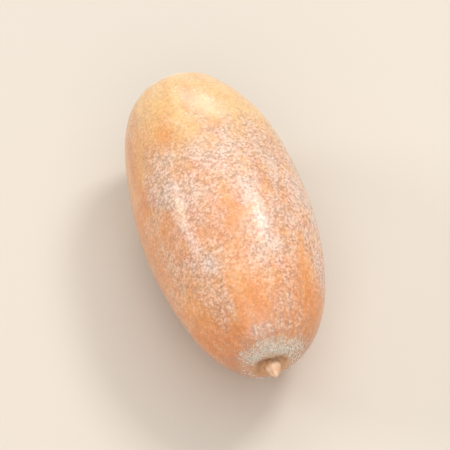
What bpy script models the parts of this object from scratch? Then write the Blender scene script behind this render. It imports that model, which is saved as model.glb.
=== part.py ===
"""An acorn without its cup, lying on its side.

The nut is one turned body. Its outline is a long barrel, a little blunter at the base than at the tip. The tip
has a small hard point standing in a shallow dish. The base has the round scar where the cup let go: a raised
lip, a groove inside it, and a slightly domed disc. The nut lies along Y with its tip towards -Y, on a small flat
on its belly at z = 0.
"""
import math

import bpy

MM = 0.001

# The barrel
BELLY_RADIUS = 8.25 * MM
TIP_REACH = 16.9 * MM           # from the belly to the tip, without the point
BASE_REACH = 16.6 * MM          # from the belly to where the base would close if it had no scar
TIP_FULLNESS = 2.3              # 2 is an ellipse, more is blunter
BASE_FULLNESS = 2.55

# The point, and the dish that it stands in
POINT_HEIGHT = 1.2 * MM
POINT_END_RADIUS = 0.20 * MM
POINT_ROOT_RADIUS = 0.85 * MM
POINT_FLARE = 0.75              # 1 is a straight cone, less is a fuller point
DISH_RADIUS = 1.90 * MM
DISH_DEPTH = 0.16 * MM

# The cup scar
SCAR_RADIUS = 4.30 * MM
LIP_WIDTH = 0.45 * MM
LIP_HEIGHT = 0.14 * MM
GROOVE_WIDTH = 0.30 * MM
GROOVE_DEPTH = 0.20 * MM
DISC_SINK = 0.04 * MM           # how far the disc's edge lies inside the lip's foot
DISC_DOME = 0.14 * MM

# The flat that it rests on
FLAT_DEPTH = 0.20 * MM

# How finely the body is faceted
TURN_STEPS = 48
HALF_BARREL_STEPS = 16
MERGE_DISTANCE = 0.002 * MM

SHELL_COLOUR = (0.72, 0.34, 0.13, 1.0)
SHELL_ROUGHNESS = 0.45


def barrel_height(radius, reach, fullness):
    """Height of the barrel over the belly where it has this radius: reach * sqrt(1 - (radius / belly) ^ fullness)."""
    return reach * math.sqrt(max(0.0, 1.0 - (radius / BELLY_RADIUS) ** fullness))


def barrel_arc(reach, fullness, end_radius, steps):
    """Half the barrel's outline as (radius, height) points, from where it has end_radius to just short of the belly.

    The angle t runs from the end to a right angle at the belly, with radius = belly * sin(t) ^ (2 / fullness) and
    height = reach * cos(t).
    """
    start = math.asin((end_radius / BELLY_RADIUS) ** (fullness / 2.0))
    points = []
    for step in range(steps):
        t = start + (math.pi / 2.0 - start) * step / steps
        points.append((BELLY_RADIUS * math.sin(t) ** (2.0 / fullness), reach * math.cos(t)))
    return points


def point_outline():
    """The point, from its rounded end down its full flank to the floor of the dish."""
    end_centre = TIP_REACH + POINT_HEIGHT - POINT_END_RADIUS
    floor = TIP_REACH - DISH_DEPTH
    points = []
    for degrees in (0, 30, 60, 80):
        angle = math.radians(degrees)
        points.append((POINT_END_RADIUS * math.sin(angle), end_centre + POINT_END_RADIUS * math.cos(angle)))
    for share in (0.1, 0.3, 0.6, 1.0):
        radius = POINT_END_RADIUS + (POINT_ROOT_RADIUS - POINT_END_RADIUS) * share ** POINT_FLARE
        points.append((radius, end_centre + (floor - end_centre) * share))
    return points


def dish_outline():
    """The dish, rising from the point's foot to the barrel on half a cosine wave."""
    points = []
    for share in (0.25, 0.5, 0.75):
        radius = POINT_ROOT_RADIUS + (DISH_RADIUS - POINT_ROOT_RADIUS) * share
        sunk = DISH_DEPTH * 0.5 * (1.0 + math.cos(math.pi * share))
        points.append((radius, barrel_height(radius, TIP_REACH, TIP_FULLNESS) - sunk))
    return points


def scar_outline():
    """The scar below the belly: over the lip, through the groove and across the domed disc to the middle."""
    edge = -barrel_height(SCAR_RADIUS, BASE_REACH, BASE_FULLNESS)
    lip_inside = SCAR_RADIUS - LIP_WIDTH
    disc_radius = lip_inside - GROOVE_WIDTH
    points = [
        (SCAR_RADIUS, edge),
        (SCAR_RADIUS - LIP_WIDTH * 0.25, edge - LIP_HEIGHT * 0.75),
        (SCAR_RADIUS - LIP_WIDTH * 0.55, edge - LIP_HEIGHT),
        (SCAR_RADIUS - LIP_WIDTH * 0.85, edge - LIP_HEIGHT * 0.6),
        (lip_inside - GROOVE_WIDTH * 0.3, edge + GROOVE_DEPTH),
        (lip_inside - GROOVE_WIDTH * 0.7, edge + GROOVE_DEPTH),
    ]
    for share in (1.0, 0.75, 0.5, 0.25, 0.0):
        dome = DISC_DOME * (1.0 - share ** 2)
        points.append((disc_radius * share, edge + DISC_SINK - dome))
    return points


def nut_outline():
    """The whole outline, from the end of the point down the outer side to the middle of the scar."""
    tip_half = barrel_arc(TIP_REACH, TIP_FULLNESS, DISH_RADIUS, HALF_BARREL_STEPS)
    base_half = barrel_arc(BASE_REACH, BASE_FULLNESS, SCAR_RADIUS, HALF_BARREL_STEPS)
    below_belly = [(radius, -height) for radius, height in reversed(base_half[1:])]
    return point_outline() + dish_outline() + tip_half + [(BELLY_RADIUS, 0.0)] + below_belly + scar_outline()


def make_collection(name):
    """A new collection in the scene."""
    collection = bpy.data.collections.new(name)
    bpy.context.scene.collection.children.link(collection)
    return collection


def make_material(name, colour, roughness):
    """A plain Principled material."""
    material = bpy.data.materials.new(name)
    material.use_nodes = True
    shader = material.node_tree.nodes["Principled BSDF"]
    shader.inputs["Base Color"].default_value = colour
    shader.inputs["Roughness"].default_value = roughness
    shader.inputs["Metallic"].default_value = 0.0
    return material


def make_profile(name, outline):
    """A mesh of edges in the XZ plane, ready for a Screw modifier round Z."""
    mesh = bpy.data.meshes.new(name)
    edges = [(index, index + 1) for index in range(len(outline) - 1)]
    mesh.from_pydata([(radius, 0.0, height) for radius, height in outline], edges, [])
    return bpy.data.objects.new(name, mesh)


def make_flat_cutter(name, top):
    """A box under the height top, wide enough to reach past the nut."""
    width = 4.0 * BELLY_RADIUS
    length = 2.0 * (TIP_REACH + BASE_REACH)
    depth = BELLY_RADIUS
    bpy.ops.mesh.primitive_cube_add(size=1.0, location=(0.0, 0.0, top - depth / 2.0))
    cutter = bpy.context.object
    cutter.name = name
    cutter.scale = (width, length, depth)
    bpy.ops.object.transform_apply(location=False, rotation=False, scale=True)
    cutter.hide_render = True
    cutter.display_type = "WIRE"
    return cutter


def turn_about_length(nut):
    """Turns the profile into a closed body with a Screw modifier."""
    screw = nut.modifiers.new("turn", "SCREW")
    screw.axis = "Z"
    screw.steps = TURN_STEPS
    screw.render_steps = TURN_STEPS
    screw.use_merge_vertices = True
    screw.merge_threshold = MERGE_DISTANCE
    screw.use_smooth_shade = True


def cut_flat(nut, cutter):
    """Takes the cutter away from the nut."""
    boolean = nut.modifiers.new("resting_flat", "BOOLEAN")
    boolean.operation = "DIFFERENCE"
    boolean.solver = "EXACT"
    boolean.object = cutter


def clear_scene():
    """Removes the objects that a new file starts with."""
    for item in list(bpy.data.objects):
        bpy.data.objects.remove(item, do_unlink=True)


def move_to(collection, item):
    """Puts an object in this collection and in no other."""
    for other in list(item.users_collection):
        other.objects.unlink(item)
    collection.objects.link(item)


def main():
    clear_scene()
    parts = make_collection("acorn")
    cutters = make_collection("cutters")

    outline = nut_outline()
    tip_end = max(height for _, height in outline)
    base_end = -min(height for _, height in outline)

    # Turned a quarter about X, the outline's top points to -Y. The belly stands off the middle of the length, so
    # that the origin is midway between the ends.
    nut = make_profile("acorn", outline)
    nut.location = (0.0, (tip_end - base_end) / 2.0, BELLY_RADIUS - FLAT_DEPTH)
    nut.rotation_euler = (math.pi / 2.0, 0.0, 0.0)
    nut.data.materials.append(make_material("nut_shell", SHELL_COLOUR, SHELL_ROUGHNESS))
    parts.objects.link(nut)
    turn_about_length(nut)

    cutter = make_flat_cutter("floor_cutter", 0.0)
    move_to(cutters, cutter)
    cut_flat(nut, cutter)


main()
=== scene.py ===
# %% [markdown]
# # One acorn on a pale table
#
# A long oak acorn has dropped out of its cup and lies on its side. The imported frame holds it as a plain
# turned solid. Here it gets the skin that the eye looks for: a caramel shell with fine lengthwise fibres, a
# chalky bloom that has rubbed off in places, pale down round the hard little point, and the corky scar at
# the other end.
#
# The nut grew as one piece, so its skin is one mesh. Everything that has a shape is moved vertices, worked
# out with numpy. Only what is finer than the mesh is left to the material. The down round the point is a
# second mesh.

# %% Load the frame
import math

import bpy
import numpy as np
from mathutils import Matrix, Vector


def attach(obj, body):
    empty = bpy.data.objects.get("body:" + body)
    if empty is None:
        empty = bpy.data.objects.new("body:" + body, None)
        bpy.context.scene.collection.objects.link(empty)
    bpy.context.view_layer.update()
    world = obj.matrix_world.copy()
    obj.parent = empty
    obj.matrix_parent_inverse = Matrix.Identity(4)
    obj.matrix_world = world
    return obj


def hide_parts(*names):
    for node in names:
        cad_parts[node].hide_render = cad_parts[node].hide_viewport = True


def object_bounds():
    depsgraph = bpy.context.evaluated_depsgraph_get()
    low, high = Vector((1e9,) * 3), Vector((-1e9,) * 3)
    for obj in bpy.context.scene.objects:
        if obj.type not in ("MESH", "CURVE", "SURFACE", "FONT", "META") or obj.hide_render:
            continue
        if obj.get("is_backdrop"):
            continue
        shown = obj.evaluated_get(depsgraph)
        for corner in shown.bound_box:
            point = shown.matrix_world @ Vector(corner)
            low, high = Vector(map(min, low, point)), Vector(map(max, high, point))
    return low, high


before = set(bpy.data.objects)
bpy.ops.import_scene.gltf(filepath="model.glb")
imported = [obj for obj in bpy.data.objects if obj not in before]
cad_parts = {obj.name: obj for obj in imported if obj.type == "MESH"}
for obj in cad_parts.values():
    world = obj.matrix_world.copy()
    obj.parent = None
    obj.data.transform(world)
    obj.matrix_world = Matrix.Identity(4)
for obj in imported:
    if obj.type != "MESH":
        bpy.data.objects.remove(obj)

MM = 0.001
cad_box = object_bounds()
cad_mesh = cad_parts["acorn"].data
cad_points = np.empty(len(cad_mesh.vertices) * 3, np.float32)
cad_mesh.vertices.foreach_get("co", cad_points)
cad_points = cad_points.reshape(-1, 3) / MM
print("CAD box in mm:", np.round(cad_points.min(0), 2), np.round(cad_points.max(0), 2))

# %% [markdown]
# ## The sizes
#
# The driving sizes come from the frame, so that the skin lies where the solid does: how wide the nut is,
# where along its length its belly is, and how far each end reaches. The small features keep named sizes of
# their own. All the shape work is in millimetres, and only the last step turns it into metres.

# %% Sizes of the nut
BELLY = np.ptp(cad_points[:, 0]) / 2.0
AXIS_HEIGHT = cad_points[:, 2].max() - BELLY
BELLY_Y = cad_points[np.abs(cad_points[:, 0]) > 0.999 * BELLY, 1].mean()

TIP_FULLNESS = 2.3
BASE_FULLNESS = 2.55
POINT_HEIGHT = 1.2
POINT_END = 0.20
POINT_ROOT = 0.85
POINT_FLARE = 0.75              # 1 is a straight cone, less is a fuller point
DISH_RADIUS = 1.90
DISH_DEPTH = 0.16
SCAR_RADIUS = 4.30
LIP_WIDTH = 0.45
LIP_HEIGHT = 0.14
CRACK_WIDTH = 0.26
CRACK_DEPTH = 0.30
DISC_RADIUS = SCAR_RADIUS - LIP_WIDTH - CRACK_WIDTH
DISC_DOME = 0.14

TIP_REACH = BELLY_Y - cad_points[:, 1].min() - POINT_HEIGHT
SCAR_HEIGHT = cad_points[:, 1].max() - BELLY_Y - LIP_HEIGHT
BASE_REACH = SCAR_HEIGHT / math.sqrt(1.0 - (SCAR_RADIUS / BELLY) ** BASE_FULLNESS)
print(f"belly {BELLY:.2f}, reach {TIP_REACH:.2f} and {BASE_REACH:.2f}, scar at {SCAR_HEIGHT:.2f} mm")

# %% [markdown]
# ## The outline
#
# An acorn is nearly a turned shape, so it starts as one outline that runs from the end of the point, over
# the belly, to the middle of the scar. Each half of the barrel is a blunted ellipse. The point is a blunt
# cone that stands in a dish. At the other end the shell stops at a raised lip. Inside the lip is the crack
# where the corky disc has shrunk away from the shell.

# %% Outline of the tip half
def barrel_height(radius, reach, fullness):
    """Height of the barrel over the belly: reach * sqrt(1 - (radius / belly) to the power fullness)."""
    return reach * np.sqrt(np.clip(1.0 - (radius / BELLY) ** fullness, 0.0, 1.0))


def ease(value, low, high):
    """Rises smoothly from 0 at low to 1 at high: 3 t squared - 2 t cubed."""
    t = np.clip((value - low) / (high - low), 0.0, 1.0)
    return t * t * (3.0 - 2.0 * t)


def tip_outline():
    """(height, radius) down the point, across its dish and over the tip half of the barrel to the belly."""
    end_centre = TIP_REACH + POINT_HEIGHT - POINT_END
    floor = TIP_REACH - DISH_DEPTH
    turn = np.radians(np.linspace(0.0, 80.0, 20))
    down = np.linspace(0.02, 1.0, 60)
    dish = np.linspace(0.02, 1.0, 50)
    dish_radius = POINT_ROOT + (DISH_RADIUS - POINT_ROOT) * dish
    dish_sunk = DISH_DEPTH * 0.5 * (1.0 + np.cos(math.pi * dish))
    start = math.asin((DISH_RADIUS / BELLY) ** (TIP_FULLNESS / 2.0))
    t = np.linspace(start, math.pi / 2.0, 500)[1:]
    height = np.concatenate([
        end_centre + POINT_END * np.cos(turn),
        end_centre + (floor - end_centre) * down,
        barrel_height(dish_radius, TIP_REACH, TIP_FULLNESS) - dish_sunk,
        TIP_REACH * np.cos(t),
    ])
    radius = np.concatenate([
        POINT_END * np.sin(turn),
        POINT_END + (POINT_ROOT - POINT_END) * down ** POINT_FLARE,
        dish_radius,
        BELLY * np.sin(t) ** (2.0 / TIP_FULLNESS),
    ])
    return height, radius


tip_height, tip_radius = tip_outline()
print("tip half:", len(tip_height), "outline points")

# %% Outline of the base half
def base_outline():
    """(height, radius) from the belly over the lip, through the crack and across the disc to its middle."""
    end = math.asin((SCAR_RADIUS / BELLY) ** (BASE_FULLNESS / 2.0))
    t = np.linspace(math.pi / 2.0, end, 500)[1:]
    inside = np.linspace(0.01, SCAR_RADIUS, 300)
    radius = SCAR_RADIUS - inside
    lip = LIP_HEIGHT * np.sin(math.pi * np.clip(inside / LIP_WIDTH, 0.0, 1.0)) ** 0.8
    crack_middle = LIP_WIDTH + CRACK_WIDTH / 2.0
    crack = CRACK_DEPTH * np.exp(-((inside - crack_middle) / (0.42 * CRACK_WIDTH)) ** 2)
    dome = DISC_DOME * (1.0 - (radius / DISC_RADIUS) ** 2) * ease(inside, LIP_WIDTH, LIP_WIDTH + CRACK_WIDTH)
    height = np.concatenate([-BASE_REACH * np.cos(t), -SCAR_HEIGHT - lip + crack - dome])
    return height, np.concatenate([BELLY * np.sin(t) ** (2.0 / BASE_FULLNESS), radius])


base_height, base_radius = base_outline()
rough_height = np.concatenate([tip_height, base_height])
rough_radius = np.concatenate([tip_radius, base_radius])
print("outline from", round(rough_height[0], 2), "to", round(rough_height[-1], 2), "mm along the length")

# %% [markdown]
# ## Rows where they are needed
#
# The belly is smooth and needs few rows. The point, the lip and the crack are a few tenths of a millimetre
# wide and need many. So the outline is walked by its own length, its corners are rounded by a short running
# average, and the rows are dealt out by a spacing that shrinks near each small feature.

# %% Walk the outline and round its corners
CORNER_ROUNDING = 0.05
FINE_STEP = 0.005


def walk(height, radius):
    """Distance along the outline at each of its points."""
    return np.concatenate([[0.0], np.cumsum(np.hypot(np.diff(height), np.diff(radius)))])


def rounded(values, width):
    """Running average with a bell-shaped weight, its ends mirrored through the end point."""
    reach = int(3 * width / FINE_STEP)
    weight = np.exp(-0.5 * (np.arange(-reach, reach + 1) * FINE_STEP / width) ** 2)
    weight /= weight.sum()
    padded = np.pad(values, reach, mode="reflect", reflect_type="odd")
    return np.convolve(padded, weight, mode="valid")


rough_walk = walk(rough_height, rough_radius)
even_walk = np.arange(0.0, rough_walk[-1], FINE_STEP)
fine_height = rounded(np.interp(even_walk, rough_walk, rough_height), CORNER_ROUNDING)
fine_radius = rounded(np.interp(even_walk, rough_walk, rough_radius), CORNER_ROUNDING)
fine_height[0], fine_height[-1] = rough_height[0], rough_height[-1]
fine_radius[0], fine_radius[-1] = 0.0, 0.0
fine_walk = walk(fine_height, fine_radius)
print(f"outline is {fine_walk[-1]:.1f} mm long")

# %% Deal out the rows
ROWS = 368
COLUMNS = 256

on_tip = fine_height > 0.0
near_point = on_tip * (1.0 - ease(fine_radius, 1.2, 3.5))
near_lip = ~on_tip * (1.0 - ease(np.abs(fine_radius - SCAR_RADIUS + 0.4), 0.45, 1.2))
on_disc = ~on_tip * (1.0 - ease(fine_radius, DISC_RADIUS, SCAR_RADIUS))
spacing = 0.165 - 0.125 * near_point - 0.115 * near_lip - 0.09 * on_disc * (1.0 - near_lip)
tally = np.concatenate([[0.0], np.cumsum(np.diff(fine_walk) / spacing[1:])])
row_walk = np.interp(np.linspace(0.0, tally[-1], ROWS), tally, fine_walk)
row_height = np.interp(row_walk, fine_walk, fine_height)
row_radius = np.interp(row_walk, fine_walk, fine_radius)
belly_walk = np.interp(0.0, -fine_height, fine_walk)
print(f"{ROWS} rows, {np.diff(row_walk).min():.3f} to {np.diff(row_walk).max():.3f} mm apart")

# %% [markdown]
# ## Random but smooth
#
# Nothing that grew is exactly round. Two kinds of random field stand for growth. The first is a sum of
# plane waves in space, which can't show a seam because it only looks at where a point is. The second runs
# round the nut in whole numbers of waves, which closes it too, and it is stretched along the length as the
# fibres are.

# %% The grid and two kinds of random field
angle = np.linspace(0.0, 2.0 * math.pi, COLUMNS, endpoint=False)
around = np.broadcast_to(angle, (ROWS, COLUMNS))
height = np.broadcast_to(row_height[:, None], (ROWS, COLUMNS))
radius = np.broadcast_to(row_radius[:, None], (ROWS, COLUMNS))
along_walk = np.broadcast_to((row_walk - belly_walk)[:, None], (ROWS, COLUMNS))
spot = np.stack([radius * np.sin(around), -height, radius * np.cos(around)], axis=-1)
tip_side = height > 0.0
base_side = ~tip_side


def waves(seed, count, shortest, longest):
    """Sum of count plane waves cos(k . point + phase), random in direction and length. Its spread is 1."""
    rng = np.random.default_rng(seed)
    total = np.zeros((ROWS, COLUMNS))
    for _ in range(count):
        direction = rng.normal(size=3)
        direction *= 2.0 * math.pi / rng.uniform(shortest, longest) / np.linalg.norm(direction)
        total += np.cos(spot @ direction + rng.uniform(0.0, 2.0 * math.pi))
    return total * math.sqrt(2.0 / count)


def fibres(seed, count, fewest, most, shortest, longest):
    """Sum of count waves cos(m angle + k length + phase), m whole so that each closes. Its spread is 1."""
    rng = np.random.default_rng(seed)
    total = np.zeros((ROWS, COLUMNS))
    for _ in range(count):
        turns = rng.integers(fewest, most + 1)
        drift = rng.choice((-1.0, 1.0)) * 2.0 * math.pi / rng.uniform(shortest, longest)
        total += np.cos(turns * around + drift * along_walk + rng.uniform(0.0, 2.0 * math.pi))
    return total * math.sqrt(2.0 / count)


print("grid of", ROWS, "by", COLUMNS, "points")

# %% [markdown]
# ## The relief of the shell
#
# The shell swells and sinks a little, it is a touch oval, and it has a few shallow dents. Over that run
# fine lengthwise ribs, which are the fibre bundles under the skin. They draw together towards both ends, so
# their height fades where there is no room left for them.

# %% Relief of the shell
SWELL = 0.05
RIB_HEIGHT = 0.003
SHALLOW_DENTS = (
    # height over the belly, degrees round from the top, radius, depth
    (6.5, -48.0, 2.4, 0.05),
    (-4.0, 30.0, 2.8, 0.05),
    (10.5, 18.0, 1.7, 0.035),
    (-8.0, -110.0, 3.0, 0.06),
    (3.0, 128.0, 2.2, 0.05),
    (9.0, -150.0, 2.5, 0.05),
    (-2.0, 172.0, 2.0, 0.04),
)


def turned_by(degrees):
    """Angle from the given bearing, in degrees from -180 to 180."""
    return (np.degrees(around) - degrees + 180.0) % 360.0 - 180.0


def patch(place, degrees, half_length, half_width):
    """A soft spot: exp(-(distance along / half length) ^ 2 - (distance round / half width) ^ 2)."""
    distance_round = np.radians(turned_by(degrees)) * radius
    return np.exp(-((height - place) / half_length) ** 2 - (distance_round / half_width) ** 2)


relief = SWELL * waves(11, 30, 8.0, 20.0) + 0.008 * waves(12, 60, 1.6, 4.0)
relief += 0.05 * np.cos(2.0 * around + 0.6) + 0.03 * np.cos(3.0 * around + 1.9)
for place, degrees, size, depth in SHALLOW_DENTS:
    relief -= depth * patch(place, degrees, size, size)
room = ease(radius, 3.0, 6.5)
relief += room * RIB_HEIGHT * (fibres(13, 60, 18, 40, 14.0, 60.0) + 0.7 * fibres(14, 60, 38, 60, 10.0, 40.0))
relief *= np.where(tip_side, ease(radius, 1.2, 4.0), ease(radius, SCAR_RADIUS, SCAR_RADIUS + 1.0))
print(f"shell relief from {relief.min():.3f} to {relief.max():.3f} mm")

# %% [markdown]
# ## The relief of the two ends
#
# Round the point the skin is a little lumpy under its down. The point itself is what is left of the flower:
# a blunt cone with three faint lobes. At the base the lip is a torn edge, so its height wanders and it has
# two nicks. The disc is cork: grainy, with short ridges that run in from its edge, and a ring of pits where
# the sap came through.

# %% Relief of the point
down_zone = tip_side * (1.0 - ease(radius, 2.9, 3.9)) * ease(radius, 0.9, 1.3)
relief += down_zone * (0.006 * waves(21, 90, 0.45, 0.9) + 0.012 * waves(22, 60, 1.2, 2.5))
on_point = tip_side * ease(height, TIP_REACH - 0.1, TIP_REACH + 0.25)
lobes = np.cos(3.0 * around + 0.4) + 0.4 * np.cos(5.0 * around + 2.0)
relief += on_point * ease(radius, 0.05, 0.3) * (0.035 * lobes + 0.012 * waves(23, 60, 0.25, 0.5))
print(f"point zone has {int((on_point[:, 0] > 0.5).sum())} rows")

# %% Relief of the scar
PITS = 22
PIT_RING = 0.80 * DISC_RADIUS
PIT_SIZE = 0.11
PIT_DEPTH = 0.06
NICKS = ((-118.0, 4.0), (64.0, 3.0))    # degrees round from the top, half width in degrees
NICK_DEPTH = 0.16

lip_zone = base_side * np.exp(-((radius - SCAR_RADIUS + 0.5 * LIP_WIDTH) / (0.5 * LIP_WIDTH)) ** 2)
crack_zone = base_side * np.exp(-((radius - DISC_RADIUS - 0.5 * CRACK_WIDTH) / (0.45 * CRACK_WIDTH)) ** 2)
disc_zone = base_side * (1.0 - ease(radius, DISC_RADIUS - 0.1, DISC_RADIUS + 0.05))
wander = 0.6 * np.cos(around + 0.8) + 0.5 * np.cos(3.0 * around + 2.2) + 0.4 * np.cos(7.0 * around + 0.3)
relief += lip_zone * (0.030 * wander + 0.020 * waves(24, 60, 0.5, 1.2))
relief += crack_zone * 0.08 * np.clip(-wander, 0.0, 1.2)
for degrees, half_width in NICKS:
    relief -= NICK_DEPTH * lip_zone * np.exp(-(turned_by(degrees) / half_width) ** 2)

ridges = np.cos(46.0 * around + 1.5 * wander) * ease(radius, 0.62 * DISC_RADIUS, 0.9 * DISC_RADIUS)
from_pit = (around * PITS / (2.0 * math.pi) + 0.12 * wander) % 1.0 - 0.5
from_pit = np.hypot(from_pit * 2.0 * math.pi * PIT_RING / PITS, radius - PIT_RING - 0.12 * wander)
pits = np.exp(-(from_pit / PIT_SIZE) ** 2)
cork = 0.016 * waves(25, 120, 0.28, 0.6) + 0.022 * waves(26, 60, 0.9, 2.2)
relief += disc_zone * (cork + 0.012 * ridges - PIT_DEPTH * pits)
print(f"all relief from {relief.min():.3f} to {relief.max():.3f} mm")

# %% [markdown]
# ## From outline to mesh
#
# Each row of the grid is a ring. Every point moves out along the outline's own normal by the relief. The
# whole nut then bows sideways by a few tenths of a millimetre, and its point sits a little off the middle,
# because few acorns are straight. Last, its underside is pressed onto the table: a height z becomes (z +
# sqrt(z squared + e squared)) / 2, which flattens what is below the table and hardly touches the rest.

# %% Place the points
BOW = 0.30
POINT_SHIFT = -0.22
SOFT_EDGE = 0.04

slope_height = np.gradient(row_height, row_walk)
slope_radius = np.gradient(row_radius, row_walk)
slope_length = np.hypot(slope_height, slope_radius)
moved_height = height + (slope_radius / slope_length)[:, None] * relief
moved_radius = np.maximum(radius - (slope_height / slope_length)[:, None] * relief, 0.0)

bow = BOW * (0.35 - (moved_height / TIP_REACH) ** 2)
bow += POINT_SHIFT * ease(moved_height, TIP_REACH - 3.0, TIP_REACH)
x = moved_radius * np.sin(around) + bow
y = BELLY_Y - moved_height
z = AXIS_HEIGHT + moved_radius * np.cos(around)
z = 0.5 * (z + np.sqrt(z * z + SOFT_EDGE * SOFT_EDGE))
points = np.stack([x, y, z], axis=-1)
print("skin box in mm:", np.round(points.min((0, 1)), 2), np.round(points.max((0, 1)), 2))

# %% [markdown]
# The grid becomes a closed mesh. The first and the last ring have no radius, so each is one point, and a
# fan of triangles joins it to its neighbour ring. The rest are four-sided faces, and the last column joins
# the first.

# %% Build the closed mesh
def closed_mesh(name, grid):
    """A mesh from rings of points: quads between rings, triangles at the two poles, faces pointing out."""
    rings = grid[1:-1]
    count, across = rings.shape[:2]
    vertices = np.concatenate([grid[:1].mean(1), rings.reshape(-1, 3), grid[-1:].mean(1)]) * MM
    index = 1 + np.arange(count * across).reshape(count, across)
    following = np.roll(index, -1, axis=1)
    quads = np.stack([index[:-1], following[:-1], following[1:], index[1:]], axis=-1).reshape(-1, 4)
    first = np.stack([np.zeros(across, int), following[0], index[0]], axis=-1)
    last = np.stack([np.full(across, len(vertices) - 1), index[-1], following[-1]], axis=-1)
    mesh = bpy.data.meshes.new(name)
    mesh.from_pydata(vertices, [], quads.tolist() + first.tolist() + last.tolist())
    mesh.shade_smooth()
    return mesh


def enclosed_volume(mesh):
    """Volume in cubic mm: the sum of a . (b x c) / 6 over the triangles, above 0 if the faces point out."""
    mesh.calc_loop_triangles()
    corners = np.empty(3 * len(mesh.loop_triangles), np.int32)
    mesh.loop_triangles.foreach_get("vertices", corners)
    places = np.empty(3 * len(mesh.vertices), np.float32)
    mesh.vertices.foreach_get("co", places)
    a, b, c = places.reshape(-1, 3)[corners.reshape(-1, 3)].transpose(1, 0, 2).astype(float) / MM
    return np.sum(a * np.cross(b, c)) / 6.0


nut = bpy.data.objects.new("acorn_skin", closed_mesh("acorn_skin", points))
bpy.context.scene.collection.objects.link(nut)
print(f"skin: {len(nut.data.vertices)} points round {enclosed_volume(nut.data) / 1000.0:.2f} cubic cm")

# %% [markdown]
# ## Where the bloom lies, with some painted highlight and shade
#
# The bloom is thickest in the middle of the nut. It is missing at the base, which the cup covered, and
# where the nut has been rubbed. The patches that show are listed one by one, and the far side gets a few
# more from a seeded draw. The numbers are stored on the points of the mesh, where the material can read
# them.

# %% Bloom
BLOOM_AND_HIGHLIGHT_PATCHES = (
    # height over the belly, degrees round from the top, half length, half width, amount
    (-1.2, -45.0, 2.8, 1.4, 0.36),
    (-10.0, -60.0, 1.6, 1.5, 1.10),
    # A narrow white streak: partly bloom, partly a painted highlight streak.
    (3.0, -37.0, 3.0, 0.6, 0.45),
    (-2.6, -13.0, 1.5, 2.6, 0.27),
    (-0.4, 9.0, 2.0, 1.2, 0.32),
    (0.4, -24.0, 1.8, 1.2, 0.30),
    # Partly bloom, partly a painted highlight streak along the long mid highlight.
    (4.6, 12.0, 3.6, 0.9, 0.50),
    (9.2, 6.0, 2.2, 1.6, 0.35),
    (8.3, -32.0, 1.1, 0.7, 0.75),
    (6.7, -54.0, 3.6, 1.6, 0.10),
    (11.9, -39.0, 1.8, 1.4, 0.48),
    (3.0, 68.0, 6.5, 1.3, 0.45),
    (1.2, 33.0, 4.0, 2.4, 0.15),
    (8.8, 31.0, 3.0, 2.2, 0.22),
    (13.2, 24.0, 1.7, 2.0, 0.40),
    (8.6, 66.0, 2.6, 1.9, 0.50),
    (2.0, 59.0, 4.0, 1.8, 0.42),
    (-7.0, 20.0, 2.4, 1.2, 0.40),
    (-4.2, 34.0, 2.0, 1.6, 0.25),
    (15.2, 0.0, 0.8, 1.6, 0.15),
)
RUBBED_AND_SHADE_PATCHES = (
    (5.4, -7.0, 3.6, 1.6, 0.40),
    (-6.3, -9.0, 1.5, 1.4, 0.35),
    (-5.0, -64.0, 3.8, 1.5, 0.65),
    (13.0, -14.0, 1.9, 2.6, 0.45),
    (11.8, 47.0, 2.4, 1.8, 0.45),
    (1.0, 95.0, 5.0, 1.6, 0.40),
    (1.5, -58.0, 2.0, 1.2, 0.08),
    (2.2, -46.0, 1.3, 1.0, 0.28),
    (-2.0, -88.0, 11.0, 3.4, 0.75),
    (13.5, 72.0, 2.2, 1.8, 0.30),
    (-7.4, -57.0, 1.9, 2.2, 0.45),
    # Painted shade near the tip's left edge: less bloom there, so the shell reads darker.
    (15.2, -66.0, 1.5, 1.8, 0.30),
)
FAR_PATCHES = 16                # drawn at random on the far side, some more and some less bloomed


def patches(table):
    """Sum of the soft spots in a table, each times its amount."""
    return sum(amount * patch(*shape) for *shape, amount in table)


bloom_and_painted_light = 0.62 + 0.08 * waves(31, 40, 3.0, 8.0) + 0.05 * fibres(32, 50, 6, 30, 8.0, 30.0)
bloom_and_painted_light += patches(BLOOM_AND_HIGHLIGHT_PATCHES) - patches(RUBBED_AND_SHADE_PATCHES)
draw = np.random.default_rng(33)
for _ in range(FAR_PATCHES):
    place, degrees = draw.uniform(-7.0, 13.0), draw.uniform(105.0, 255.0)
    bloom_and_painted_light += draw.uniform(-0.5, 0.5) * patch(place, degrees, draw.uniform(1.5, 4.5), draw.uniform(0.7, 2.0))

edge = 0.9 * waves(34, 30, 3.0, 9.0) + 0.4 * fibres(35, 30, 8, 30, 6.0, 20.0)
cup_cover = ease(-height + edge, 2.8, 8.0)
bloom_and_painted_light = np.clip(bloom_and_painted_light - 0.32 * ease(height, 7.5, 12.5), 0.0, 2.2) * (1.0 - 0.80 * cup_cover)
print(f"bloom from {bloom_and_painted_light.min():.2f} to {bloom_and_painted_light.max():.2f}, mean {bloom_and_painted_light.mean():.2f}")
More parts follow.
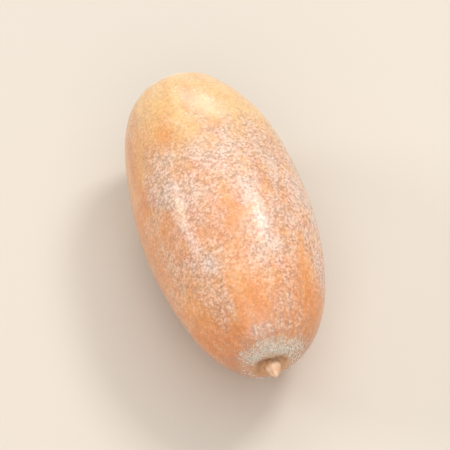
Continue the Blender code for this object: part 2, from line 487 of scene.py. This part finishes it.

# %% [markdown]
# ## What else the material needs to know
#
# How far along a point is, how warm the shell is there, with painted shade and a painted highlight mixed
# into that warmth, how grey the bloom is, and how near it lies to each small feature. Each zone's field runs
# from 0 to 1, with a wobbly edge so that no two finishes meet in a drawn line. The down is thickest on top
# and thinner on the side that rubbed against something, at WORN_SIDE. A pale arc of bloom lies just outside
# it.
# The brown ring round the point is made darker on top as painted shade, and so is a patch of the collar near
# the tip's left edge. The one vector is the shell unrolled: round it at the belly's width, and along it by
# the outline's own length.

# %% Casts of the shell and the bloom, with painted shade and highlight
WARMTH_AND_PAINTED_LIGHT = (
    # height over the belly, degrees round from the top, half length, half width, amount
    # Reddish cast at the bottom-left edge, made deeper as painted shade.
    (13.0, -79.0, 3.5, 2.5, 1.8),
    (-8.0, -65.0, 5.5, 2.4, 1.3),
    (-4.0, -90.0, 9.0, 3.4, 1.4),
    (11.0, 56.0, 4.0, 1.6, 0.5),
    (13.5, 28.0, 2.0, 4.0, 0.6),
    # Painted shade near the tip's left edge.
    (15.2, -66.0, 1.6, 1.8, 0.8),
    # Painted highlight: no warm tint on the base's right side, so it stays pale where the highlight spreads.
    (-11.2, 26.0, 2.2, 3.0, -1.0),
)
GREY_PATCHES = (
    (0.2, -44.0, 3.2, 1.5, 0.5),
    (8.3, -32.0, 1.3, 1.0, 0.5),
    (-2.8, 0.0, 2.2, 3.5, 0.5),
)
warmth_and_painted_light = 0.5 * waves(36, 40, 4.0, 12.0) + 0.3 * fibres(37, 40, 4, 20, 12.0, 40.0) + patches(WARMTH_AND_PAINTED_LIGHT)
greyness = 0.2 * waves(38, 40, 2.5, 7.0) + patches(GREY_PATCHES)
print(f"warmth from {warmth_and_painted_light.min():.1f} to {warmth_and_painted_light.max():.1f}, greyness up to {greyness.max():.1f}")

# %% Rings round the point
WORN_SIDE = -115.0
BROWN_RING = 1.3                # radii of the thin rings round the point
MAUVE_LINE = 3.5
PALE_ARC = 4.05


def down_left(bearing):
    """Share of the down that is left at a bearing: most on top, little underneath, less on the worn side."""
    worn = ease(np.cos(bearing - math.radians(WORN_SIDE)), 0.4, 0.9)
    return (0.60 + 0.40 * np.cos(bearing + 0.2)) * (1.0 - 0.6 * worn)


def drawn_in(bearing):
    """How many mm nearer to the point the dish's colours lie at a bearing: most on top and on the right."""
    return 0.25 * np.cos(bearing - 0.5)


blur = 0.25 * waves(41, 40, 0.8, 2.0) + 0.12 * waves(42, 40, 0.3, 0.7)
ring_radius = radius + 0.4 * blur + drawn_in(around)
dish = 1.0 - ease(ring_radius - 0.1 * (1.0 - np.cos(around)), 1.2, 2.2)
# The ring is darker on top: painted shade from the dish's upper wall, over the ring's own brown.
ring_and_top_shade = np.exp(-((ring_radius - BROWN_RING) / 0.42) ** 2) * (0.55 + 0.45 * np.cos(around + 0.2))
down = (1.0 - ease(radius + blur, 2.5, 4.0)) * down_left(around)
pale_arc = tip_side * np.exp(-((radius + 0.5 * blur - PALE_ARC) / 0.28) ** 2 - (turned_by(-8.0) / 36.0) ** 2)
collar_and_shade = 0.45 * (1.0 - ease(radius + 1.3 * blur, 3.6, 5.4))
collar_and_shade += 0.55 * np.exp(-((radius + 0.7 * blur - MAUVE_LINE) / 0.38) ** 2)
# Painted shade: a patch of collar near the tip's left edge.
collar_and_shade += 0.25 * patch(15.0, -74.0, 1.4, 2.0)
collar_and_shade *= (1.0 - 0.8 * pale_arc) * (1.0 - 0.85 * np.exp(-(turned_by(36.0) / 32.0) ** 2))
print(f"pale arc covers {int((pale_arc > 0.5).sum())} points")

# %% Store the fields on the mesh
lip_distance = np.abs(radius - SCAR_RADIUS + 0.42 * LIP_WIDTH + 0.06 * wander)
fields = {
    "along": height,
    "slimness": radius / BELLY,
    "cup_cover": cup_cover,
    "bloom_and_painted_light": bloom_and_painted_light + 0.6 * pale_arc,
    "warmth_and_painted_light": warmth_and_painted_light,
    "greyness": greyness,
    "collar_and_shade": tip_side * collar_and_shade,
    "down": tip_side * down,
    "dish": tip_side * dish,
    "ring_and_top_shade": tip_side * ring_and_top_shade,
    "point": on_point,
    "lip": base_side * (1.0 - ease(lip_distance, 0.14, 0.42)),
    "crack": crack_zone * np.clip(0.75 - 0.45 * wander + 0.5 * waves(43, 30, 0.6, 1.5), 0.0, 1.0),
    "disc": disc_zone,
    "pits": disc_zone * pits,
}


def store(mesh, name, values, kind="FLOAT"):
    """Puts one value, or one vector, on each point of a mesh that closed_mesh made."""
    by_point = [values[:1].mean(1), values[1:-1].reshape(-1, *values.shape[2:]), values[-1:].mean(1)]
    attribute = mesh.attributes.new(name, kind, "POINT")
    key = "value" if kind == "FLOAT" else "vector"
    attribute.data.foreach_set(key, np.concatenate(by_point).astype(np.float32).ravel())


for name, values in fields.items():
    store(nut.data, name, np.asarray(values, float))
unrolled = np.stack([BELLY * np.sin(around), BELLY * np.cos(around), along_walk], axis=-1)
store(nut.data, "unrolled", unrolled, "FLOAT_VECTOR")
print("fields on the mesh:", ", ".join(sorted(fields)), "and unrolled")

# %% [markdown]
# ## Helpers for materials
#
# Colours are written as they look on a screen, in sRGB hex, and one function turns them to the linear
# values that the renderer wants. One more function adds a node of any kind, with its settings and its
# links, so that a material reads as a list of layers. Some inputs are numbered: 1 and 2 of a MapRange are
# the values it reads from, 3 and 4 the values it turns them to, and 6 and 7 of a Mix are its two colours.

# %% Helpers for materials
def linear(hex_colour):
    """sRGB hex to linear RGBA: c / 12.92 up to 0.04045, then ((c + 0.055) / 1.055) to the power 2.4."""
    channels = [int(hex_colour[i:i + 2], 16) / 255.0 for i in (1, 3, 5)]
    return [c / 12.92 if c <= 0.04045 else ((c + 0.055) / 1.055) ** 2.4 for c in channels] + [1.0]


def add(tree, kind, inputs=None, output=0, **settings):
    """Adds a node, sets its own settings, fills or links its inputs, and gives back one of its outputs.

    Text in an input is a colour. A ColorRamp takes stops, a list of (position, colour).
    """
    node = tree.nodes.new("ShaderNode" + kind)
    stops = settings.pop("stops", [])
    for name, value in settings.items():
        setattr(node, name, value)
    for place, (position, colour) in enumerate(stops):
        element = node.color_ramp.elements[place] if place < 2 else node.color_ramp.elements.new(position)
        element.position = position
        element.color = linear(colour)
    for name, value in (inputs or {}).items():
        if isinstance(value, bpy.types.NodeSocket):
            tree.links.new(value, node.inputs[name])
        else:
            node.inputs[name].default_value = linear(value) if isinstance(value, str) else value
    return node.outputs[output] if len(node.outputs) else None


def new_material(name):
    """An empty node material and its node tree."""
    material = bpy.data.materials.new(name)
    material.use_nodes = True
    material.node_tree.nodes.clear()
    return material, material.node_tree


print("caramel in linear values:", np.round(linear("#d9924f")[:3], 3))

# %% [markdown]
# ## Patterns at real sizes
#
# Every pattern in the shell is noise with a size in millimetres. Fibres and veins are stretched along the
# nut, so they read the unrolled place. Grains have no direction, so they read the place in space. The
# grains of the bloom are Voronoi cells, and each cell's random value makes it a white grain or a gap. Real
# grains are about 0.1 mm, one pixel in the picture, so they are drawn about twice as coarse, two to three
# pixels.

# %% Patterns
NOISES = {
    # name: width of one light and dark pair in mm, how many times longer than wide, detail
    "fibre": (0.34, 12.0, 3.0),
    "vein": (1.1, 5.0, 2.0),
    "mottle": (1.9, 1.2, 3.0),
    "scatter": (1.3, 1.5, 3.0),
    "tint": (0.9, 1.5, 2.0),
    "blush": (1.3, 1.4, 2.0),
    "scuff": (0.34, 3.0, 1.0),
    "grain": (0.45, 1.0, 2.0),
    "dust": (0.24, 1.0, 1.0),
}
SPECK_SIZE = 0.24


def patterns(tree):
    """The stored fields and the noises, by name."""
    get = {name: add(tree, "Attribute", attribute_name=name, output="Fac") for name in fields}
    in_space = add(tree, "Mapping", {
        "Vector": add(tree, "TexCoord", output="Object"), "Scale": (1.0 / MM, 1.0 / MM, 1.0 / MM)})
    on_shell = add(tree, "Attribute", attribute_name="unrolled", output="Vector")
    for name, (size, stretch, detail) in NOISES.items():
        place = in_space
        if stretch > 1.0:
            place = add(tree, "Mapping", {"Vector": on_shell, "Scale": (1.0, 1.0, 1.0 / stretch)})
        get[name] = add(tree, "TexNoise", {
            "Vector": place, "Scale": 1.0 / size, "Detail": detail, "Roughness": 0.6})
    from_middle = add(tree, "TexVoronoi", {"Vector": in_space, "Scale": 1.0 / SPECK_SIZE}, "Distance")
    luck = add(tree, "SeparateColor", {0: from_middle.node.outputs["Color"]})
    get["speck"] = add(tree, "Math", {0: from_middle, 1: -0.8, 2: luck}, operation="MULTIPLY_ADD")
    get["cast"] = luck.node.outputs["Green"]
    return get


def over(tree, amount, below, above, blend="MIX"):
    """Lays one colour over another by an amount from 0 to 1."""
    return add(tree, "Mix", {0: amount, 6: below, 7: above}, 2, data_type="RGBA", blend_type=blend)


print("noises:", ", ".join(f"{name} {size} mm" for name, (size, _, _) in NOISES.items()))

# %% [markdown]
# ## The bare shell
#
# The shell is a thin hard skin like varnished leather. It is yellow where the cup kept the light off and
# caramel from the belly to the tip. Soft mottling and veins break it up, and fine fibres run along it, some
# dark and some pale. They fade where the nut gets slim, or they would crowd together.

# %% Bare shell
def bare_shell(tree, get):
    """Colour of the shell under the bloom."""
    along = add(tree, "MapRange", {0: get["along"], 1: -15.0, 2: 16.5})
    colour = add(tree, "ValToRGB", {0: along}, stops=[
        (0.0, "#f3c888"), (0.24, "#f3c07c"), (0.40, "#eaa05e"), (0.62, "#ea9652"), (0.78, "#f29e51"),
        (0.97, "#da8a4b")])
    # The warm tint also carries painted shade at the bottom-left and near the tip's left edge, and a painted
    # highlight where the base's right side is left pale.
    warm_tint_and_painted_light = add(tree, "MapRange", {0: get["warmth_and_painted_light"], 1: 0.0, 2: 2.0, 3: 0.0, 4: 0.75})
    colour = over(tree, warm_tint_and_painted_light, colour, "#e88634")
    for name, dark, pale in (("mottle", 0.30, 0.34), ("vein", 0.06, 0.08), ("fibre", 0.07, 0.07)):
        darker = add(tree, "MapRange", {0: get[name], 1: 0.52, 2: 0.72, 3: 0.0, 4: dark})
        darker = add(tree, "Math", {0: darker, 1: get["slimness"]}, operation="MULTIPLY")
        colour = over(tree, darker, colour, "#b8692f")
        paler = add(tree, "MapRange", {0: get[name], 1: 0.48, 2: 0.28, 3: 0.0, 4: pale})
        paler = add(tree, "Math", {0: paler, 1: get["slimness"]}, operation="MULTIPLY")
        colour = over(tree, paler, colour, "#f8d6a4")
    return colour


print("bare shell: a gradient, a warm tint and three patterns")

# %% [markdown]
# ## The bloom, and the light and shade painted into it
#
# Over the shell lies a dry film of wax and loose skin cells, thin enough for the shell to show through. Its
# cast drifts between peach and grey, and thicker grains in it look white. How much of it covers a spot is
# the stored thickness plus noise, so a patch has a ragged edge; that thickness also holds two painted
# highlight streaks and a patch of painted shade. Grains, and painted shade in the small hollows between
# them, break it up further, and a few short scuffs are whiter still.

# %% Bloom layer
def with_bloom_and_painted_light(tree, get, colour):
    """Lays the bloom over a colour, with its painted highlight streaks and the painted shade in its hollows.
    Gives back the colour and how dull the surface has become.
    """
    broad = add(tree, "Math", {0: get["scatter"], 1: 1.1, 2: get["bloom_and_painted_light"]}, operation="MULTIPLY_ADD")
    film = add(tree, "MapRange", {
        0: broad, 1: 0.3, 2: 1.95, 3: 0.0, 4: 0.80}, interpolation_type="SMOOTHSTEP")
    grey = add(tree, "MapRange", {0: get["tint"], 1: 0.36, 2: 0.64})
    grey = add(tree, "Math", {0: grey, 1: get["greyness"]}, operation="ADD", use_clamp=True)
    blush = add(tree, "MapRange", {0: get["blush"], 1: 0.40, 2: 0.60})
    warm_film = over(tree, blush, "#f2c296", "#eeb9a7")
    colour = over(tree, film, colour, over(tree, grey, warm_film, "#dfc8b9"))
    rough_skin = add(tree, "MapRange", {0: film, 1: 0.0, 2: 0.5, 3: 0.4, 4: 1.0})
    # Darker specks where the film lies: painted shade in the hollows between the grains.
    for name, high, low, amount in (("speck", 0.15, -0.35, 0.5), ("dust", 0.56, 0.30, 0.5)):
        hollow_shade = add(tree, "MapRange", {0: get[name], 1: high, 2: low, 3: 0.0, 4: amount})
        hollow_shade = add(tree, "Math", {0: hollow_shade, 1: rough_skin}, operation="MULTIPLY")
        colour = over(tree, hollow_shade, colour, "#b7b2af", "MULTIPLY")
    cover = add(tree, "Math", {0: get["speck"], 1: 1.6, 2: broad}, operation="MULTIPLY_ADD")
    cover = add(tree, "Math", {0: get["dust"], 1: 1.8, 2: cover}, operation="MULTIPLY_ADD")
    chalk = add(tree, "MapRange", {
        0: cover, 1: 2.05, 2: 3.75, 3: 0.0, 4: 0.38}, interpolation_type="SMOOTHSTEP")
    scuffed = add(tree, "MapRange", {0: get["scuff"], 1: 0.60, 2: 0.74, 3: 0.0, 4: 0.34})
    scuffed = add(tree, "Math", {0: scuffed, 1: film}, operation="MULTIPLY")
    colour = over(tree, chalk, colour, over(tree, get["cast"], "#fadccf", "#f6ead2"))
    colour = over(tree, scuffed, colour, "#f8e9dd")
    return colour, add(tree, "Math", {0: film, 1: chalk}, operation="MAXIMUM")


print("bloom: film, chalk and scuffs")

# %% [markdown]
# ## The tip and the scar
#
# Near the point the shell fades to a dusky collar, deepest in a thin mauve line where the down begins, and
# deepened near the tip's left edge as painted shade. Under the down the skin is a pale grey-brown. Then come
# the tan dish, a brown ring darkened on top by painted shade, and the cream point. At the base a cream lip
# rings the pale cork, with the dark crack between them.

# %% Tip and scar layers
def with_tip(tree, get, colour):
    """Lays the collar, the down, the brown ring and the point over a colour; the collar and the ring carry
    some painted shade.
    """
    speckled = add(tree, "MapRange", {0: get["grain"], 1: 0.3, 2: 0.65, 3: 0.2, 4: 0.8})
    collar_and_shade = add(tree, "Math", {0: get["collar_and_shade"], 1: speckled}, operation="MULTIPLY")
    colour = over(tree, collar_and_shade, colour, "#b98369")
    tufted = add(tree, "MapRange", {0: get["grain"], 1: 0.3, 2: 0.55, 3: 0.5, 4: 1.0})
    down_amount = add(tree, "Math", {0: get["down"], 1: tufted}, operation="MULTIPLY")
    down = add(tree, "ValToRGB", {0: get["dust"]}, stops=[(0.3, "#bba28c"), (0.7, "#dccdba")])
    colour = over(tree, down_amount, colour, down)
    patchy = add(tree, "MapRange", {0: get["grain"], 1: 0.3, 2: 0.7, 3: 1.0, 4: 0.6})
    dish = add(tree, "Math", {0: get["dish"], 1: patchy}, operation="MULTIPLY")
    colour = over(tree, dish, colour, "#cf9458")
    # The ring's field is darker on top: painted shade.
    ring_and_top_shade = add(tree, "Math", {0: get["ring_and_top_shade"], 1: patchy}, operation="MULTIPLY")
    colour = over(tree, ring_and_top_shade, colour, "#74431b")
    point = add(tree, "ValToRGB", {0: get["grain"]}, stops=[(0.3, "#dca67c"), (0.7, "#f0cfae")])
    return over(tree, get["point"], colour, point)


def with_scar(tree, get, colour):
    """Lays the cork disc, its pits, the lip and the crack over a colour."""
    cork = add(tree, "ValToRGB", {0: get["grain"]}, stops=[
        (0.3, "#d8c5a8"), (0.5, "#eee0c8"), (0.7, "#f8efdf")])
    colour = over(tree, get["disc"], colour, cork)
    colour = over(tree, get["lip"], colour, "#f3dcb6")
    colour = over(tree, get["pits"], colour, "#8f7657")
    return over(tree, get["crack"], colour, "#4b3a29")


print("tip: collar, down, ring, point; scar: cork, lip, pits, crack")

# %% [markdown]
# ## The nutshell, put together
#
# The bare shell has a satin shine, so it shows the soft long highlights of a nut. The bloom, the down and
# the cork are dry and dull. The last fine relief, a few thousandths of a millimetre, breaks the highlights
# up. Then the skin is hung on the body it rides on, and the plain solid it stands for is hidden.

# %% Nutshell material
def nutshell():
    """Oak nutshell: satin where bare, chalky under its bloom, downy at the tip, corky at the scar."""
    material, tree = new_material("nutshell_with_bloom")
    get = patterns(tree)
    colour, dull = with_bloom_and_painted_light(tree, get, bare_shell(tree, get))
    colour = with_scar(tree, get, with_tip(tree, get, colour))
    for name in ("down", "disc", "crack", "lip"):
        dull = add(tree, "Math", {0: dull, 1: get[name]}, operation="MAXIMUM")
    roughness = add(tree, "MapRange", {0: dull, 1: 0.0, 2: 1.0, 3: 0.34, 4: 0.65})
    fine_height = add(tree, "Math", {0: get["fibre"], 1: 0.5, 2: get["grain"]}, operation="MULTIPLY_ADD")
    fine_height = add(tree, "Math", {0: get["dust"], 1: 0.5, 2: fine_height}, operation="MULTIPLY_ADD")
    bump = add(tree, "Bump", {"Height": fine_height, "Strength": 1.0, "Distance": 0.020 * MM})
    shader = add(tree, "BsdfPrincipled", {
        "Base Color": colour, "Roughness": roughness, "Normal": bump, "IOR": 1.5,
        "Coat Weight": 0.50, "Coat Roughness": 0.23, "Sheen Weight": 0.03, "Sheen Roughness": 0.5})
    add(tree, "OutputMaterial", {"Surface": shader})
    return material


nut.data.materials.append(nutshell())
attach(nut, "root")
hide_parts("acorn")
print("nutshell has", len(nut.data.materials[0].node_tree.nodes), "nodes")

# %% [markdown]
# ## The down round the point
#
# Young acorns are silky all over, and the down stays longest round the point. Each hair is a three-sided
# spike, bent once, that lies along the shell and leans towards the point. The feet are drawn by area and
# kept with a chance that fades where the down thins out, and on the worn side. A real hair is under 0.02 mm
# thick, so these are about twice as thick, and there are fewer of them.

# %% Feet of the hairs
HAIR_DRAWS = 5000
HAIR_ZONE = (1.0, 4.3)          # radii round the point between which the feet are drawn
HAIR_LENGTH = (0.22, 0.45)
HAIR_THICKNESS = 0.022          # from the middle of a hair to its corners
HAIR_SWING = 0.5                # spread of the headings, in radians

draw = np.random.default_rng(51)
foot_radius = np.sqrt(draw.uniform(HAIR_ZONE[0] ** 2, HAIR_ZONE[1] ** 2, HAIR_DRAWS))
foot_angle = draw.uniform(0.0, 2.0 * math.pi, HAIR_DRAWS)
ragged = 0.3 * np.sin(3.0 * foot_angle + 1.0) + 0.2 * np.sin(7.0 * foot_angle)
ragged += 0.2 * draw.normal(size=HAIR_DRAWS)
chance = ease(foot_radius + drawn_in(foot_angle), 1.9, 2.3) * (1.0 - ease(foot_radius + ragged, 2.5, 3.5))
chance *= down_left(foot_angle)
kept = draw.uniform(size=HAIR_DRAWS) < chance
foot_radius, foot_angle = foot_radius[kept], foot_angle[kept]
tip_rows = row_height > 0.0
foot_row = np.interp(foot_radius, row_radius[tip_rows], np.arange(ROWS)[tip_rows])
foot_column = foot_angle / (2.0 * math.pi) * COLUMNS
print(len(foot_radius), "hairs")

# %% Grow the hairs
def unit(vectors):
    """Vectors made one long."""
    return vectors / np.linalg.norm(vectors, axis=-1, keepdims=True)


def sample(grid):
    """Values of a grid at the feet, blended between the four points round each."""
    row, column = foot_row.astype(int), foot_column.astype(int) % COLUMNS
    next_column = (column + 1) % COLUMNS
    past_row, past_column = (foot_row - row)[:, None], (foot_column % 1.0)[:, None]
    near = grid[row, column] * (1.0 - past_column) + grid[row, next_column] * past_column
    far = grid[row + 1, column] * (1.0 - past_column) + grid[row + 1, next_column] * past_column
    return near * (1.0 - past_row) + far * past_row


to_point = -np.gradient(points, axis=0)
sideways = np.roll(points, -1, axis=1) - np.roll(points, 1, axis=1)
foot = sample(points)
ahead = unit(sample(to_point))
beside = unit(sample(sideways))
outward = unit(np.cross(beside, ahead))
outward *= np.sign(np.sum(outward * (foot - [0.0, BELLY_Y, AXIS_HEIGHT]), axis=1))[:, None]

count = len(foot)
swing = draw.normal(0.0, HAIR_SWING, (count, 1))
length = draw.uniform(*HAIR_LENGTH, (count, 1))
heading = ahead * np.cos(swing) + beside * np.sin(swing)
middle_of_hair = foot + length * (0.5 * heading + 0.10 * outward)
end_of_hair = foot + length * (heading + draw.uniform(0.02, 0.20, (count, 1)) * outward)
across_hair = unit(np.cross(heading, outward))
corners = np.radians([90.0, 330.0, 210.0])[:, None, None]
girth = HAIR_THICKNESS * (np.cos(corners) * across_hair + np.sin(corners) * outward)
hairs = np.concatenate([foot - 0.02 * outward + girth, middle_of_hair + 0.8 * girth, end_of_hair[None]])
print("hairs are", round(float(length.mean()), 2), "mm long on average")

# %% Build the down
spike = [(0, 1, 4, 3), (1, 2, 5, 4), (2, 0, 3, 5), (3, 4, 6), (4, 5, 6), (5, 3, 6), (0, 2, 1)]
first_point = 7 * np.arange(count)
hair_faces = []
for face in spike:
    hair_faces += (first_point[:, None] + face).tolist()
down_mesh = bpy.data.meshes.new("tip_down")
down_mesh.from_pydata(hairs.transpose(1, 0, 2).reshape(-1, 3) * MM, [], hair_faces)
down_mesh.shade_smooth()
down_hairs = bpy.data.objects.new("tip_down", down_mesh)
bpy.context.scene.collection.objects.link(down_hairs)


def silky_down():
    """Silky plant hair: near white, a little shine along it."""
    material, tree = new_material("silky_down")
    shader = add(tree, "BsdfPrincipled", {
        "Base Color": "#f8f1e4", "Roughness": 0.5, "IOR": 1.45, "Sheen Weight": 0.2, "Sheen Roughness": 0.4})
    add(tree, "OutputMaterial", {"Surface": shader})
    return material


down_mesh.materials.append(silky_down())
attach(down_hairs, "root")
print(f"down: {10 * count} triangles round {enclosed_volume(down_mesh):.3f} cubic mm")

# %% [markdown]
# ## The table
#
# A plain table top in a pale warm paint, matt as painted board is. A good part of the light on the nut's
# sides comes back from it, so a pure white one would bleach them. Its edge is too far away to show. It is
# part of the stage and not of the nut.

# %% Table top
TABLE_HALF = 1.5                # in metres, as the places and sizes in the scene are from here on


def painted_board():
    """Matt pale paint: even colour, no gloss to speak of."""
    material, tree = new_material("matt_pale_paint")
    shader = add(tree, "BsdfPrincipled", {"Base Color": "#d3c9bc", "Roughness": 0.75, "IOR": 1.45})
    add(tree, "OutputMaterial", {"Surface": shader})
    return material


table_mesh = bpy.data.meshes.new("table")
table_corners = [(TABLE_HALF * a, TABLE_HALF * b, 0.0) for a, b in ((-1, -1), (1, -1), (1, 1), (-1, 1))]
table_mesh.from_pydata(table_corners, [], [(0, 1, 2, 3)])
table_mesh.materials.append(painted_board())
table = bpy.data.objects.new("table", table_mesh)
bpy.context.scene.collection.objects.link(table)
table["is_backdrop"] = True
print("table", 2 * TABLE_HALF, "m square")

# %% [markdown]
# ## The camera
#
# The tip leans towards the camera by a little over a third of a right angle, and it points down and a
# little to the right. With the nut lying flat along Y, that is one viewing direction: the camera's height
# angle and its turn about the nut follow from the lean and from the tilt in the picture. The lens is long,
# as for a close-up from 30 cm away.

# %% Viewing direction
LEAN = math.radians(33.0)
PICTURE_TILT = math.radians(20.5)

# With s the squared sine of the camera's height angle: 1 - s = sin(lean)^2 * (1 + tan(tilt)^2 * s).
lean_square = math.sin(LEAN) ** 2
sine_square = (1.0 - lean_square) / (1.0 + lean_square * math.tan(PICTURE_TILT) ** 2)
elevation = math.asin(math.sqrt(sine_square))
azimuth = -math.atan(math.tan(PICTURE_TILT) * math.sin(elevation))
away = np.array([-math.sin(azimuth), math.cos(azimuth), 0.0])
right = np.array([math.cos(azimuth), math.sin(azimuth), 0.0])
to_camera = np.array([0.0, 0.0, math.sin(elevation)]) - away * math.cos(elevation)
up = np.cross(to_camera, right)
print(f"camera {math.degrees(elevation):.1f} degrees up, turned {math.degrees(azimuth):.1f} degrees")

# %% Camera
CAMERA_DISTANCE = 0.30
FRAME_SHARE = 0.68


def aimed(item, place, direction):
    """Puts a camera or a lamp at a place, facing along a direction, its top up."""
    bpy.context.scene.collection.objects.link(item)
    item.location = place
    item.rotation_mode = "QUATERNION"
    item.rotation_quaternion = Vector(direction).to_track_quat("-Z", "Y")


axes = np.stack([right, up, to_camera])
seen = points.reshape(-1, 3) * MM @ axes.T
middle = seen.mean(0)
for _ in range(3):
    nearer = CAMERA_DISTANCE / (CAMERA_DISTANCE - (seen[:, 2:] - middle[2]))
    on_picture = (seen[:, :2] - middle[:2]) * nearer
    middle[:2] += 0.5 * (on_picture.min(0) + on_picture.max(0))
camera_data = bpy.data.cameras.new("camera")
camera_data.sensor_width = 36.0
camera_data.lens = camera_data.sensor_width * FRAME_SHARE * CAMERA_DISTANCE / np.ptp(on_picture[:, 1])
camera_data.clip_start = 0.01
camera = bpy.data.objects.new("camera", camera_data)
aimed(camera, middle @ axes + to_camera * CAMERA_DISTANCE, -to_camera)
bpy.context.scene.camera = camera
print(f"lens {camera_data.lens:.0f} mm at {CAMERA_DISTANCE} m")

# %% [markdown]
# ## The light
#
# The nut lies in a dim white tent under a broad soft lamp. A smaller lamp behind it, to the right, draws
# the long soft highlight down its back, and a low one behind it lights the smooth base end. A narrow strip
# on the left draws the thin streak there, and a soft lamp in front lifts the tip. The directions are given
# as seen from the camera: to the right, away from it, and up.

# %% Light
LAMPS = {
    # name: direction (right, away, up), width and height in metres, power in watts
    "key_behind": ((0.43, 0.44, 0.79), 0.17, 0.14, 1.3),
    "low_behind": ((-0.03, 0.91, 0.41), 0.34, 0.12, 0.9),
    "strip_left": ((-0.86, 0.17, 0.48), 0.20, 0.03, 0.7),
    "front_fill": ((0.02, -0.73, 0.65), 0.60, 0.40, 1.55),
    "overhead": ((0.10, 0.0, 1.0), 0.90, 0.90, 2.2),
}
LAMP_DISTANCE = 0.6
for name, (direction, width, tall, power) in LAMPS.items():
    bearing = direction[0] * right + direction[1] * away + direction[2] * np.array([0.0, 0.0, 1.0])
    bearing /= np.linalg.norm(bearing)
    lamp = bpy.data.lights.new(name, "AREA")
    lamp.shape = "RECTANGLE"
    lamp.size, lamp.size_y = width, tall
    lamp.energy = power
    aimed(bpy.data.objects.new(name, lamp), bearing * LAMP_DISTANCE, -bearing)

world = bpy.data.worlds.new("white_tent")
world.use_nodes = True
world.node_tree.nodes["Background"].inputs["Color"].default_value = linear("#fdfcfa")
world.node_tree.nodes["Background"].inputs["Strength"].default_value = 0.30
bpy.context.scene.world = world
bpy.context.scene.view_settings.view_transform = "Standard"
print("lamps:", ", ".join(LAMPS))

# %% [markdown]
# ## The size
#
# The skin must stay as big as the solid it stands for, so both boxes are printed side by side.

# %% Sizes
skin_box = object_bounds()
for label, box in (("CAD", cad_box), ("visual", skin_box)):
    print(label, "box in mm:", [round(value / MM, 2) for corner in box for value in corner])
